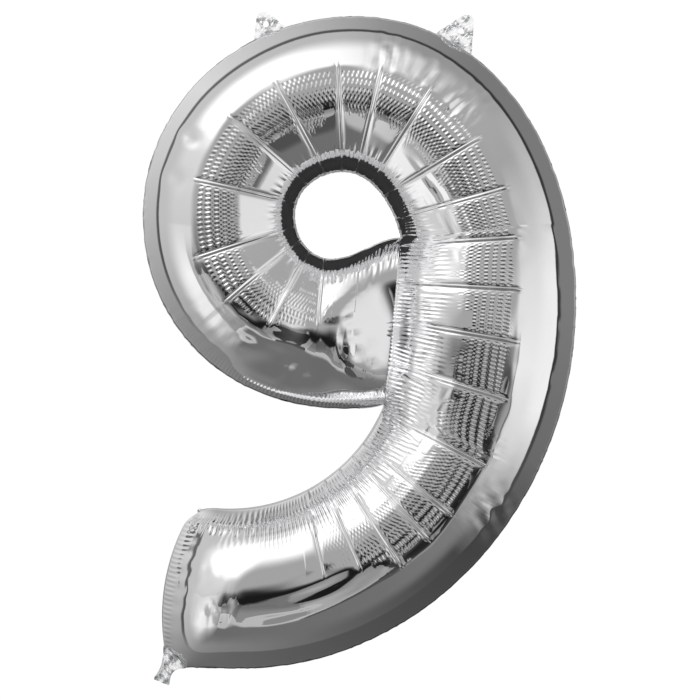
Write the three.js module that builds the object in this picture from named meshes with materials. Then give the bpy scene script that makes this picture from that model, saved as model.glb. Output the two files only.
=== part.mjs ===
// Foil number balloon, the figure nine: two foil panels heat sealed to each other round the outline
// and round the hole, two hanging tabs, and a filling neck with a self-sealing valve behind it.
// Millimetres, +Z up. The figure stands in the XZ plane and faces -Y.

import * as THREE from "three";
import { mergeVertices } from "three/addons/utils/BufferGeometryUtils.js";

// Strokes and spaces of the inflated figure, from the bottom up
const tailStroke = 212;
const underBowlGap = 132;
const bowlStroke = 199;
const holeHeight = 114;
const topStroke = 207;

// Strokes and spaces from left to right
const leftStroke = 202;
const holeWidth = 130;
const rightStroke = 242;

// Where the outline turns, measured from those strokes
const topLean = 14;
const rightDrop = 113;
const heelInset = 129;
const bowlFullness = 0.58;
const roundFullness = 0.5523;
const notchReach = 9;
const notchDrop = 29;
const armpitOffset = 52;
const armpitRise = 5;
const armpitHandle = 20;
const holeBottomOffset = 18;
const holeBottomHandle = 33;
const holeTopOffset = 2;
const holeTopHandle = 40;
const notchFloorHandle = 34;
const notchFloorDrop = 2;
const notchWallHandle = 38;
const notchWallLean = 8;
const stemInnerRadius = 220;
const tailInset = 69;
const tailFootInset = 59;
const tailFootRise = 1.3;
const tailEndInset = 28;
const tailEndRise = 32;
const tailBulge = 17;

// How far the panels swell: half the depth is this share of a stroke's width
const swell = 0.42;
const creaseShare = 0.6;
const creaseBlend = 0.1;
const tailRounding = 95;

// Film, stacked outwards from the middle plane
const filmWall = 1.2;
const weldThickness = 0.9;
const clearance = 0.3;
const flangeWidth = 5;
const weldSetback = 0.6;

// Hanging tabs: place is a share of the outline's length, and so is the span a root is squared to
const leftTab = { place: 0.3425, width: 44, reach: 29, eyeletHeight: 12.5 };
const rightTab = { place: 0.4542, width: 54, reach: 42, eyeletHeight: 18 };
const tabTipRadius = 10;
const tabThickness = 1;
const eyeletDiameter = 9;
const tabRootGap = 0.5;
const tabRootSpan = 0.005;

// Filling neck and its valve
const neckLength = 41;
const neckTipWidth = 27;
const neckTipSlant = 12;
const neckSkew = 13.5;
const neckFilm = 0.4;
const neckSealWidth = 4;
const neckRootGap = 1.3;
const valveWidth = 30;
const valveLength = 150;
const valveFilm = 0.3;

// Fineness of the panels
const ringRows = 40;
const stemRows = 9;
const neckRows = 4;
const tubeColumns = 8;

const foil = { color: 0xc4c6c9, metalness: 1, roughness: 0.16 };
const sealedFoil = { color: 0x9fa2a6, metalness: 0.9, roughness: 0.35 };
const clearFilm = { color: 0xdfe3e4, metalness: 0, roughness: 0.2, transparent: true, opacity: 0.55 };

const figureWidth = leftStroke + holeWidth + rightStroke;
const figureHeight = tailStroke + underBowlGap + bowlStroke + holeHeight + topStroke;
const leftX = -figureWidth / 2;
const holeX = leftX + leftStroke + holeWidth / 2;
const holeZ = tailStroke + underBowlGap + bowlStroke + holeHeight / 2;
const holeNotch = new THREE.Vector2(holeX + holeWidth / 2 + notchReach, holeZ - notchDrop);
const armpit = new THREE.Vector2(holeX + armpitOffset, tailStroke + underBowlGap + armpitRise);
const tailFoot = new THREE.Vector2(leftX + tailFootInset, tailFootRise);
const tailCorner = new THREE.Vector2(leftX + tailEndInset, tailEndRise);
const panelFloor = weldThickness / 2 + clearance;

// A quarter turn that leaves along one axis and arrives along the other.
function quarter(path, x, z, fullness, leavesAlongX) {
  const { x: fromX, y: fromZ } = path.currentPoint;
  if (leavesAlongX) {
    path.bezierCurveTo(fromX + fullness * (x - fromX), fromZ, x, z + fullness * (fromZ - z), x, z);
  } else {
    path.bezierCurveTo(fromX, fromZ + fullness * (z - fromZ), x + fullness * (fromX - x), z, x, z);
  }
}

// The outline, from the armpit under the bowl round to the tail's lower corner.
function outerEdge() {
  const path = new THREE.Path();
  const bowlZ = tailStroke + underBowlGap;
  path.moveTo(armpit.x, armpit.y);
  path.bezierCurveTo(armpit.x - armpitHandle, bowlZ, holeX + armpitHandle, bowlZ, holeX, bowlZ);
  quarter(path, leftX, holeZ, bowlFullness, true);
  quarter(path, holeX + topLean, figureHeight, roundFullness, false);
  quarter(path, leftX + figureWidth, holeZ - rightDrop, bowlFullness, true);
  quarter(path, leftX + heelInset, 0, roundFullness, false);
  path.lineTo(tailFoot.x, tailFoot.y);
  path.lineTo(tailCorner.x, tailCorner.y);
  return path;
}

// The inner edge of the stem, from the armpit down to the tail's upper corner.
function stemEdge() {
  const path = new THREE.Path();
  const centreZ = tailStroke + stemInnerRadius;
  const rise = armpit.y - centreZ;
  const centreX = armpit.x - Math.sqrt(stemInnerRadius ** 2 - rise ** 2);
  const start = Math.atan2(rise, armpit.x - centreX);
  const past = Math.asin((centreX - leftX - tailInset) / stemInnerRadius);
  path.absarc(centreX, centreZ, stemInnerRadius, start, -Math.PI / 2 - past, true);
  return path;
}

// The edge of the hole: a sharp notch at its lower right, and round everywhere else.
function holeEdge() {
  const path = new THREE.Path();
  const low = holeZ - holeHeight / 2;
  const high = holeZ + holeHeight / 2;
  const bottomX = holeX - holeBottomOffset;
  const topX = holeX - holeTopOffset;
  const { x: notchX, y: notchZ } = holeNotch;
  const floor = [notchX - notchFloorHandle, notchZ - notchFloorDrop];
  const wall = [notchX - notchWallLean, notchZ + notchWallHandle];
  path.moveTo(notchX, notchZ);
  path.bezierCurveTo(...floor, bottomX + holeBottomHandle, low, bottomX, low);
  quarter(path, holeX - holeWidth / 2, holeZ, roundFullness, true);
  quarter(path, topX, high, roundFullness, false);
  path.bezierCurveTo(topX + holeTopHandle, high, ...wall, notchX, notchZ);
  return path;
}

const outer = outerEdge();
const stem = stemEdge();
const hole = holeEdge();
const outerLength = outer.getLength();
const stemLength = stem.getLength();
const chamferLength = tailFoot.distanceTo(tailCorner);
const tailZone = flangeWidth + tailRounding;

// Sections run from an inner edge to the outline. Each pair gives the share of the outline's
// length and the share of the inner edge's length that one section joins.
const ringFan = [
  [0, 0],
  [0.043, 0.26],
  [0.17, 0.41],
  [0.29, 0.565],
  [0.42, 0.74],
  [0.52, 0.87],
  [0.582, 1],
];
const creaseFan = [[0.582, 0], [0.734, 1]];
const stemFan = [
  [0.734, 0],
  [0.78, 0.185],
  [0.832, 0.335],
  [1 - tailZone / outerLength, 1 - tailZone / stemLength],
];

function innerShare(fan, share) {
  let place = 1;
  while (place < fan.length - 1 && share > fan[place][0]) {
    place += 1;
  }
  const [from, to] = [fan[place - 1], fan[place]];
  return THREE.MathUtils.mapLinear(share, from[0], to[0], from[1], to[1]);
}

function spread(from, to, steps) {
  return Array.from({ length: steps + 1 }, (unused, step) => from + ((to - from) * step) / steps);
}

// One section: its two ends, and how high the panel stands over it.
function sectionAt(start, end, swelling = {}) {
  return { start, end, share: 1, taper: 1, startHeight: 0, bulge: 0, crease: false, ...swelling };
}

function ringSections() {
  return spread(0, ringFan.at(-1)[0], ringRows).map((share) => {
    const ease = THREE.MathUtils.smoothstep(share, 0, creaseBlend);
    const start = hole.getPoint(innerShare(ringFan, share));
    return sectionAt(start, outer.getPoint(share), { share: THREE.MathUtils.lerp(creaseShare, 1, ease) });
  });
}

function stemSections() {
  const near = stemFan.at(-1)[0];
  return spread(stemFan[0][0], near, stemRows).map((share) =>
    sectionAt(stem.getPoint(innerShare(stemFan, share)), outer.getPoint(share)),
  );
}

// The last rows round the tail off, down to the seam and the cut edge past it.
function tailSections() {
  const steps = [
    ...spread(tailZone, chamferLength, 3).slice(1, -1),
    ...spread(chamferLength, flangeWidth, neckRows),
    0,
  ];
  return steps.map((left) => {
    const along = Math.min(1, Math.max(0, left - flangeWidth) / tailRounding);
    const start = stem.getPoint(1 - left / stemLength);
    const end = outer.getPoint(1 - left / outerLength);
    const bulge = tailBulge * THREE.MathUtils.smoothstep(1 - left / tailZone, 0, 1);
    return sectionAt(start, end, { taper: Math.sqrt(1 - (1 - along) ** 2), bulge });
  });
}

// A row of points over one section: cut edge, seam, the swollen tube, seam, cut edge.
function rowOver(section) {
  const { start, end, share, taper, startHeight, bulge, crease } = section;
  const width = start.distanceTo(end);
  const height = swell * width * share * taper;
  const along = end.clone().sub(start).divideScalar(width);
  const endward = new THREE.Vector2(along.y, -along.x);
  const tubeStart = crease ? 0 : flangeWidth;
  const tube = width - flangeWidth - tubeStart;
  const turn = crease ? Math.asin(Math.min(1, startHeight / height)) : 0;
  const columns = crease ? tubeColumns + 1 : tubeColumns;
  const row = crease ? [] : [{ distance: 0, high: 0 }];
  for (const angle of spread(turn, Math.PI, columns)) {
    const across = (Math.cos(turn) - Math.cos(angle)) / (Math.cos(turn) + 1);
    row.push({ distance: tubeStart + tube * across, high: height * Math.sin(angle) });
  }
  row.push({ distance: width, high: 0 });
  return row.map(({ distance, high }) => {
    const part = distance / width;
    const swing = 4 * bulge * part * (1 - part);
    const x = start.x + along.x * distance + endward.x * swing;
    const z = start.y + along.y * distance + endward.y * swing;
    return new THREE.Vector3(x, high, z);
  });
}

// Between the bowl and the stem the panel dips to a crease from the hole's notch to the armpit.
function creaseRows(creaseLine) {
  const last = creaseLine.length - 1;
  const shares = spread(creaseFan[0][0], creaseFan[1][0], last);
  return shares.map((share, place) => {
    const point = creaseLine[place];
    const start = new THREE.Vector2(point.x, point.z);
    const crease = place > 0 && place < last;
    const row = rowOver(sectionAt(start, outer.getPoint(share), { startHeight: point.y, crease }));
    row[0] = point.clone();
    return row;
  });
}

const ring = ringSections().map(rowOver);
const join = creaseRows(ring[0]);
const stemRowsOver = [...stemSections(), ...tailSections()].map(rowOver);
ring[ring.length - 1] = join[0];
stemRowsOver[0] = join.at(-1);

// Two triangles to each cell between one row and the next.
function cellsBetween(rows) {
  const triangles = [];
  for (let row = 1; row < rows.length; row += 1) {
    for (let column = 1; column < rows[row].length; column += 1) {
      const [a, b] = [rows[row - 1][column - 1], rows[row - 1][column]];
      const [c, d] = [rows[row][column - 1], rows[row][column]];
      triangles.push([a, b, d], [a, d, c]);
    }
  }
  return triangles;
}

function keyOf(point) {
  return [point.x, point.z].map((value) => value.toFixed(3)).join(" ");
}

// Triangles seen along Y, without the empty ones, all turned the same way.
function sheetOf(triangles) {
  const points = new Map();
  const faces = [];
  for (const triangle of triangles) {
    const keys = triangle.map(keyOf);
    triangle.forEach((point, corner) => points.has(keys[corner]) || points.set(keys[corner], point));
    const [a, b, c] = triangle;
    const area = (b.x - a.x) * (c.z - a.z) - (b.z - a.z) * (c.x - a.x);
    if (new Set(keys).size === 3 && Math.abs(area) > 1e-4) {
      faces.push(area > 0 ? keys : [keys[0], keys[2], keys[1]]);
    }
  }
  return { points, faces };
}

// A closed solid between two heights over every point of a sheet.
function solidOf(triangles, nearY, farY) {
  const { points, faces } = sheetOf(triangles);
  const edges = new Set(faces.flatMap(([a, b, c]) => [`${a}|${b}`, `${b}|${c}`, `${c}|${a}`]));
  const at = (key, height) => {
    const point = points.get(key);
    return [point.x, height(point), point.z];
  };
  const corners = [];
  for (const [a, b, c] of faces) {
    corners.push(at(a, nearY), at(b, nearY), at(c, nearY));
    corners.push(at(c, farY), at(b, farY), at(a, farY));
  }
  for (const edge of edges) {
    const [a, b] = edge.split("|");
    if (!edges.has(`${b}|${a}`)) {
      corners.push(at(b, nearY), at(a, nearY), at(a, farY));
      corners.push(at(b, nearY), at(a, farY), at(b, farY));
    }
  }
  const geometry = new THREE.BufferGeometry();
  geometry.setAttribute("position", new THREE.Float32BufferAttribute(corners.flat(), 3));
  return mergeVertices(geometry, 1e-4);
}

function piece(name, geometry, finish) {
  geometry.computeVertexNormals();
  const mesh = new THREE.Mesh(geometry, new THREE.MeshStandardMaterial(finish));
  mesh.name = name;
  return mesh;
}

// A flat layer of film between two heights.
function layer(triangles, from, to) {
  return solidOf(triangles, () => from, () => to);
}

// A band along pairs of points, kept back from the cut edge.
function band(pairs) {
  const cut = weldSetback / flangeWidth;
  const rows = pairs.map(([edge, seam]) => [edge.clone().lerp(seam, cut), seam]);
  return layer(cellsBetween(rows), -weldThickness / 2, weldThickness / 2);
}

function outerPairs(rows) {
  return rows.map((row) => [row.at(-1), row.at(-2)]);
}

function innerPairs(rows) {
  return rows.map((row) => [row[0], row[1]]);
}

// The outer weld runs from the tail's end round the whole outline, and stops at the filling neck.
function outerWeldPairs() {
  const [seamRow, cutRow] = stemRowsOver.slice(-2);
  const tailEnd = cutRow.slice(1, -1).map((point, column) => [point, seamRow[column + 1]]);
  const corner = [cutRow[0], seamRow[1]];
  const inner = innerPairs(stemRowsOver.slice(0, -1));
  const outside = [...ring, ...join.slice(1), ...stemRowsOver.slice(1, -neckRows - 1)];
  return [...tailEnd.reverse(), corner, ...inner.reverse(), ...outerPairs(outside)];
}

function panels() {
  const triangles = [ring, join, stemRowsOver].flatMap(cellsBetween);
  const front = solidOf(triangles, (p) => -panelFloor - filmWall - p.y, (p) => -panelFloor - p.y);
  const back = solidOf(triangles, (p) => panelFloor + p.y, (p) => panelFloor + filmWall + p.y);
  return [piece("front_foil_panel", front, foil), piece("back_foil_panel", back, foil)];
}

function welds() {
  const holePairs = innerPairs([...ring, ring[0]]);
  return [
    piece("outer_seam_weld", band(outerWeldPairs()), sealedFoil),
    piece("hole_seam_weld", band(holePairs), sealedFoil),
  ];
}

// An extruded outline stood up in the XZ plane, with its middle at Y = 0.
function plate(shape, thickness, middleY) {
  const settings = { depth: thickness, bevelEnabled: false, curveSegments: 10 };
  const geometry = new THREE.ExtrudeGeometry(shape, settings);
  geometry.deleteAttribute("normal");
  geometry.deleteAttribute("uv");
  geometry.translate(0, 0, -thickness / 2);
  geometry.rotateX(Math.PI / 2);
  geometry.translate(0, middleY, 0);
  return mergeVertices(geometry, 1e-4);
}

// Where a tab's root and eyelet lie, and the direction along its root.
function tabFrame({ place, eyeletHeight }) {
  const [before, after] = [place - tabRootSpan, place + tabRootSpan];
  const along = outer.getPoint(after).sub(outer.getPoint(before)).normalize();
  const outward = new THREE.Vector2(-along.y, along.x);
  const root = outer.getPoint(place).addScaledVector(outward, tabRootGap);
  const eyelet = root.clone().addScaledVector(outward, eyeletHeight);
  return { root, along, eyelet };
}

// A tab: straight root, two sides that close on a round tip, and the eyelet.
function hangingTab(name, tab) {
  const half = tab.width / 2;
  const tipCentre = tab.reach - tabTipRadius;
  const slope = Math.atan2(tipCentre, half) + Math.asin(tabTipRadius / Math.hypot(tipCentre, half));
  const shape = new THREE.Shape();
  shape.moveTo(-half, 0);
  shape.lineTo(half, 0);
  shape.absarc(0, tipCentre, tabTipRadius, Math.PI / 2 - slope, Math.PI / 2 + slope, false);
  shape.closePath();
  const eyelet = new THREE.Path();
  eyelet.absarc(0, tab.eyeletHeight, eyeletDiameter / 2, 0, 2 * Math.PI, true);
  shape.holes.push(eyelet);
  const mesh = piece(name, plate(shape, tabThickness, 0), clearFilm);
  const { root, along } = tabFrame(tab);
  mesh.position.set(root.x, 0, root.y);
  mesh.rotation.y = -Math.atan2(along.y, along.x);
  return mesh;
}

// The neck hangs from the cut-off corner of the tail. Its own X runs along that cut.
function neckGroup() {
  const group = new THREE.Group();
  const half = chamferLength / 2;
  const tipStart = neckSkew - neckTipWidth / 2;
  const sides = [
    [new THREE.Vector2(-half, 0), new THREE.Vector2(tipStart, -neckLength)],
    [new THREE.Vector2(half, 0), new THREE.Vector2(tipStart + neckTipWidth, neckTipSlant - neckLength)],
  ];
  const film = new THREE.Shape([sides[0][0], sides[0][1], sides[1][1], sides[1][0]]);
  const filmY = panelFloor + neckFilm / 2;
  group.add(piece("neck_front_film", plate(film, neckFilm, -filmY), clearFilm));
  group.add(piece("neck_back_film", plate(film, neckFilm, filmY), clearFilm));
  sides.forEach(([root, tip], side) => {
    const inward = new THREE.Vector2(side === 0 ? neckSealWidth : -neckSealWidth, 0);
    const strip = new THREE.Shape([root, tip, tip.clone().add(inward), root.clone().add(inward)]);
    const name = side === 0 ? "neck_left_seal" : "neck_right_seal";
    group.add(piece(name, plate(strip, weldThickness, 0), clearFilm));
  });
  return atTailCut(group, neckRootGap);
}

// Sets a group on the cut-off corner of the tail, a little way out of it.
function atTailCut(group, outwards) {
  const middle = tailFoot.clone().lerp(tailCorner, 0.5);
  const along = tailFoot.clone().sub(tailCorner).normalize();
  middle.addScaledVector(new THREE.Vector2(along.y, -along.x), outwards);
  group.position.set(middle.x, 0, middle.y);
  group.rotation.y = -Math.atan2(along.y, along.x);
  return group;
}

// The valve is a flat sleeve that starts at the neck's root and lies inside the tail.
function valveGroup() {
  const group = new THREE.Group();
  const half = valveWidth / 2;
  const sleeve = new THREE.Shape([
    new THREE.Vector2(-half, 0),
    new THREE.Vector2(half, 0),
    new THREE.Vector2(half, valveLength),
    new THREE.Vector2(-half, valveLength),
  ]);
  const filmY = (clearance + valveFilm) / 2;
  group.add(piece("valve_front_film", plate(sleeve, valveFilm, -filmY), clearFilm));
  group.add(piece("valve_back_film", plate(sleeve, valveFilm, filmY), clearFilm));
  return atTailCut(group, 0);
}

const balloon = new THREE.Group();
balloon.add(...panels(), ...welds());
balloon.add(hangingTab("left_hanging_tab", leftTab), hangingTab("right_hanging_tab", rightTab));
balloon.add(neckGroup(), valveGroup());

// The origin is midway between the two eyelets, where the figure hangs from.
const hangPoint = tabFrame(leftTab).eyelet.lerp(tabFrame(rightTab).eyelet, 0.5);
balloon.position.set(-hangPoint.x, 0, -hangPoint.y);

export default balloon;
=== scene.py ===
import math
import bpy
import numpy as np
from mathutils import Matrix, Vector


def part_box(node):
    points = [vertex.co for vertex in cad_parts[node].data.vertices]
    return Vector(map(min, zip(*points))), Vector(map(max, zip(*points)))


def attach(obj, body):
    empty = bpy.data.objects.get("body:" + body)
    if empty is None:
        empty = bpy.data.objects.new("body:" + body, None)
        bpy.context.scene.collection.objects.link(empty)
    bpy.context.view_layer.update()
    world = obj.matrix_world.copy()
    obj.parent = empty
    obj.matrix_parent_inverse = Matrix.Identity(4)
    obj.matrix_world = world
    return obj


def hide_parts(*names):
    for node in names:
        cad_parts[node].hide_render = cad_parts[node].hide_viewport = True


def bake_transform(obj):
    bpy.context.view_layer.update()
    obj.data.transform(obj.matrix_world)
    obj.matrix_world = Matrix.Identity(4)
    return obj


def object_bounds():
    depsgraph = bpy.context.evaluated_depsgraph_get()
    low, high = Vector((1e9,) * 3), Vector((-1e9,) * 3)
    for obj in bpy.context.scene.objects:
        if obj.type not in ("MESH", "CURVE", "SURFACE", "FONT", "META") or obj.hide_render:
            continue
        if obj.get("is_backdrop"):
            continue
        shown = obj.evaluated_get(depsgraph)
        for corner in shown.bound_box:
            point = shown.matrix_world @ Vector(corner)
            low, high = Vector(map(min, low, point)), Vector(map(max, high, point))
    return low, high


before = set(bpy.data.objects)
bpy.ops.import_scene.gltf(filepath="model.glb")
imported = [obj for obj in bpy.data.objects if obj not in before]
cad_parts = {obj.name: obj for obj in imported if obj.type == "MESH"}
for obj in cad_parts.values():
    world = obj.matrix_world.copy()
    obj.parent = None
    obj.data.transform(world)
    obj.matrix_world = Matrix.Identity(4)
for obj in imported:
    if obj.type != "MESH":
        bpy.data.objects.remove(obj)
cadBox = [list(corner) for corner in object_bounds()]

# the figure's strokes and turns, in metres, measured in the plane of its seam
figure = {
    "tailStroke": 0.212, "underBowlGap": 0.132, "bowlStroke": 0.199,
    "holeHeight": 0.114, "topStroke": 0.207,
    "leftStroke": 0.202, "holeWidth": 0.130, "rightStroke": 0.242,
    "topLean": 0.014, "rightDrop": 0.113, "heelInset": 0.129,
    "bowlFullness": 0.58, "roundFullness": 0.5523,
    "notchReach": 0.009, "notchDrop": 0.029,
    "armpitOffset": 0.052, "armpitRise": 0.005,
    "stemRadius": 0.220, "tailInset": 0.069,
    "tailFootInset": 0.059, "tailFootRise": 0.0013,
    "tailEndInset": 0.028, "tailEndRise": 0.032, "tailBulge": 0.017,
    "flange": 0.0008,
}
width = figure["leftStroke"] + figure["holeWidth"] + figure["rightStroke"]
height = sum(figure[key] for key in ("tailStroke", "underBowlGap", "bowlStroke", "holeHeight", "topStroke"))
leftX = -width / 2
holeX = leftX + figure["leftStroke"] + figure["holeWidth"] / 2
holeZ = figure["tailStroke"] + figure["underBowlGap"] + figure["bowlStroke"] + figure["holeHeight"] / 2
holeNotch = np.array([holeX + figure["holeWidth"] / 2 + figure["notchReach"], holeZ - figure["notchDrop"]])
underBowl = figure["tailStroke"] + figure["underBowlGap"]
armpit = np.array([holeX + figure["armpitOffset"], underBowl + figure["armpitRise"]])
tailFoot = np.array([leftX + figure["tailFootInset"], figure["tailFootRise"]])
tailCorner = np.array([leftX + figure["tailEndInset"], figure["tailEndRise"]])

# where the figure's own plane sits in the frame
panelLow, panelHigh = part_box("front_foil_panel")
placeX = (panelLow[0] + panelHigh[0]) / 2
placeZ = panelHigh[2] - height


def bezier(a, b, c, d, steps=200):
    t = np.linspace(0, 1, steps + 1)[:, None]
    a, b, c, d = (np.array(point, float) for point in (a, b, c, d))
    return (1 - t) ** 3 * a + 3 * (1 - t) ** 2 * t * b + 3 * (1 - t) * t ** 2 * c + t ** 3 * d


def quarter(start, end, fullness, leavesAlongX):
    (fromX, fromZ), (x, z) = start, end
    if leavesAlongX:
        return bezier(start, (fromX + fullness * (x - fromX), fromZ), (x, z + fullness * (fromZ - z)), end)
    return bezier(start, (fromX, fromZ + fullness * (z - fromZ)), (x + fullness * (fromX - x), z), end)


def outerEdge():
    # from the armpit under the bowl, round the outside, to the tail's lower corner
    under = (holeX, underBowl)
    left = (leftX, holeZ)
    top = (holeX + figure["topLean"], height)
    right = (leftX + width, holeZ - figure["rightDrop"])
    heel = (leftX + figure["heelInset"], 0)
    bowl, turn = figure["bowlFullness"], figure["roundFullness"]
    start = (armpit[0] - 0.02, armpit[1] - figure["armpitRise"])
    return np.concatenate([
        bezier(armpit, start, (holeX + 0.02, underBowl), under),
        quarter(under, left, bowl, True)[1:],
        quarter(left, top, turn, False)[1:],
        quarter(top, right, bowl, True)[1:],
        quarter(right, heel, turn, False)[1:],
        [tailFoot, tailCorner],
    ])


def stemEdge():
    # the stem's inner edge: one arc from the armpit to the tail's upper corner
    radius = figure["stemRadius"]
    centreZ = figure["tailStroke"] + radius
    rise = armpit[1] - centreZ
    centreX = armpit[0] - math.sqrt(radius ** 2 - rise ** 2)
    past = math.asin((centreX - leftX - figure["tailInset"]) / radius)
    angle = np.linspace(math.atan2(rise, armpit[0] - centreX), -math.pi / 2 - past, 400)
    return np.stack([centreX + radius * np.cos(angle), centreZ + radius * np.sin(angle)], axis=1)


def holeEdge():
    low, high = holeZ - figure["holeHeight"] / 2, holeZ + figure["holeHeight"] / 2
    notchX, notchZ = holeNotch
    bottom, side, top = (holeX - 0.018, low), (holeX - figure["holeWidth"] / 2, holeZ), (holeX - 0.002, high)
    turn = figure["roundFullness"]
    return np.concatenate([
        bezier(holeNotch, (notchX - 0.034, notchZ - 0.002), (holeX + 0.015, low), bottom),
        quarter(bottom, side, turn, True)[1:],
        quarter(side, top, turn, False)[1:],
        bezier(top, (holeX + 0.038, high), (notchX - 0.008, notchZ + 0.038), holeNotch)[1:],
    ])


def lengthsOf(path):
    return np.concatenate([[0], np.cumsum(np.linalg.norm(np.diff(path, axis=0), axis=1))])


def along(path, share):
    # points at shares of a path's length
    lengths = lengthsOf(path)
    reach = share * lengths[-1]
    return np.stack([np.interp(reach, lengths, path[:, 0]), np.interp(reach, lengths, path[:, 1])], axis=1)


outer, stem, hole = outerEdge(), stemEdge(), holeEdge()
outerLength, stemLength = lengthsOf(outer)[-1], lengthsOf(stem)[-1]

swell = {
    "depth": 0.42,            # half the depth as a share of a stroke's width
    "creaseShare": 0.6, "creaseBlend": 0.1,
    "tailRounding": 0.095,
    "rowStep": 0.0008,
    "lift": 0.0008,           # from the middle plane to the flange's face
    "weld": 0.0002,           # half the thickness of a seam
}
# sections of the figure: share of the outline against share of the inner edge
ringFan = ((0, 0), (0.043, 0.265), (0.086, 0.318), (0.17, 0.409), (0.231, 0.487), (0.287, 0.561),
           (0.331, 0.63), (0.382, 0.687), (0.458, 0.794), (0.513, 0.855), (0.554, 0.94), (0.582, 1))
notchShare, armpitShare = 0.582, 0.734
tailZone = figure["flange"] + swell["tailRounding"]
stemFan = ((armpitShare, 0), (0.781, 0.185), (0.832, 0.335),
           (1 - tailZone / outerLength, 1 - tailZone / stemLength), (1, 1))
# the radial tucks, as shares of the outline
tucks = (0.043, 0.086, 0.128, 0.17, 0.231, 0.287, 0.331, 0.382, 0.416, 0.458, 0.513, 0.554,
         0.59, 0.624, 0.658, 0.696, 0.741, 0.781, 0.805, 0.832, 0.86, 0.89)


# how far across the stroke the tucks and pleats reach, against the share of the outline
tuckReach = ((0, 0.38), (0.043, 0.44), (0.086, 0.54), (0.128, 0.61), (0.17, 0.64),
             (0.832, 0.64), (0.87, 0.5), (0.95, 0.4))


def smooth(value, low, high):
    t = np.clip((value - low) / (high - low), 0, 1)
    return t * t * (3 - 2 * t)


def between(value, inLow, inHigh, outLow, outHigh):
    # rises to one and falls again
    return smooth(value, inLow, inHigh) * (1 - smooth(value, outLow, outHigh))


def innerPoints(share):
    ring = along(hole, np.interp(share, *zip(*ringFan)))
    down = np.clip((share - notchShare) / (armpitShare - notchShare), 0, 1)[:, None]
    crease = holeNotch + (armpit - holeNotch) * down
    leg = along(stem, np.interp(share, *zip(*stemFan)))
    picked = np.where((share < notchShare)[:, None], ring, crease)
    return np.where((share > armpitShare)[:, None], leg, picked)


def rowShares(step):
    # rows at an even spacing along the middle of the stroke
    fine = np.linspace(0, 1, 6000)
    middle = (innerPoints(fine) + along(outer, fine)) / 2
    lengths = lengthsOf(middle)
    rows = int(lengths[-1] / step)
    return np.interp(np.linspace(0, lengths[-1], rows + 1), lengths, fine)


def columnAngles():
    # columns stand closest where the pleats are
    inner, pleated, outside = np.linspace(0, 58, 13), np.linspace(58, 118, 21), np.linspace(118, 180, 15)
    return np.radians(np.concatenate([inner, pleated[1:], outside[1:]]))


def valueNoise(x, y, seed):
    table = np.random.default_rng(seed).random((128, 128)) * 2 - 1
    column, row = np.floor(x).astype(int), np.floor(y).astype(int)
    u, v = x - column, y - row
    u, v = u * u * (3 - 2 * u), v * v * (3 - 2 * v)
    corner = lambda i, j: table[(column + i) % 128, (row + j) % 128]
    low = corner(0, 0) * (1 - u) + corner(1, 0) * u
    high = corner(0, 1) * (1 - u) + corner(1, 1) * u
    return low * (1 - v) + high * v


def crumple(x, y, seed, folds=5):
    # straight creases in several directions, as crushed film has
    turn = np.random.default_rng(seed)
    total = np.zeros_like(x)
    for fold in range(folds):
        angle, phase, pitch = turn.random() * math.pi, turn.random(), 0.7 + 0.6 * turn.random()
        wander = 0.35 * valueNoise(x * 0.5, y * 0.5, seed + 31 * fold)
        wave = (x * math.cos(angle) + y * math.sin(angle)) * pitch + phase + wander
        total += np.abs(wave % 1 - 0.5) * 2 - 0.5
    return total / math.sqrt(folds)


def normalsOf(points):
    down = np.gradient(points, axis=0)
    across = np.gradient(points, axis=1)
    normal = np.cross(down, across)
    return normal / np.maximum(np.linalg.norm(normal, axis=2, keepdims=True), 1e-12)


def baseGrid(share):
    # the swollen panel before its folds: x, depth, z for each row and column
    start, end = innerPoints(share), along(outer, share)
    span = end - start
    wide = np.linalg.norm(span, axis=1)
    unit = span / wide[:, None]
    flange = figure["flange"]
    left = (1 - share) * outerLength
    closing = np.clip((left - flange) / swell["tailRounding"], 0, 1)
    taper = np.sqrt(1 - (1 - closing) ** 2)
    ease = swell["creaseShare"] + (1 - swell["creaseShare"]) * smooth(share, 0, swell["creaseBlend"])
    high = swell["depth"] * wide * ease * taper
    # between the notch and the armpit a section starts on the crease, not on a seam
    creaseWide = np.linalg.norm(armpit - holeNotch)
    down = (share - notchShare) / (armpitShare - notchShare)
    place = np.clip((down * creaseWide - flange) / (creaseWide - 2 * flange), 0, 1)
    creaseHigh = 2 * swell["depth"] * swell["creaseShare"] * creaseWide * np.sqrt(place * (1 - place))
    turn = np.arcsin(np.clip(creaseHigh / np.maximum(high, 1e-6), 0, 1))
    inCrease = smooth(down, 0, 0.03) * (1 - smooth(down, 0.97, 1))
    tubeStart = flange * (1 - inCrease) + 0.0002
    angle = columnAngles()
    angles = turn[:, None] + (math.pi - turn[:, None]) * angle[None, :] / math.pi
    part = (np.cos(turn)[:, None] - np.cos(angles)) / (np.cos(turn)[:, None] + 1)
    distance = tubeStart[:, None] + (wide - flange - tubeStart)[:, None] * part
    depth = high[:, None] * np.sin(angles)
    distance = np.concatenate([0 * wide[:, None], distance, wide[:, None]], axis=1)
    depth = np.concatenate([creaseHigh[:, None], depth, 0 * wide[:, None]], axis=1)
    across = distance / wide[:, None]
    bulge = figure["tailBulge"] * smooth(1 - left / tailZone, 0, 1)
    swing = 4 * bulge[:, None] * across * (1 - across)
    x = start[:, :1] + unit[:, :1] * distance + unit[:, 1:] * swing
    z = start[:, 1:] + unit[:, 1:] * distance - unit[:, :1] * swing
    return np.stack([x, depth, z], axis=2), across, wide


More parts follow.
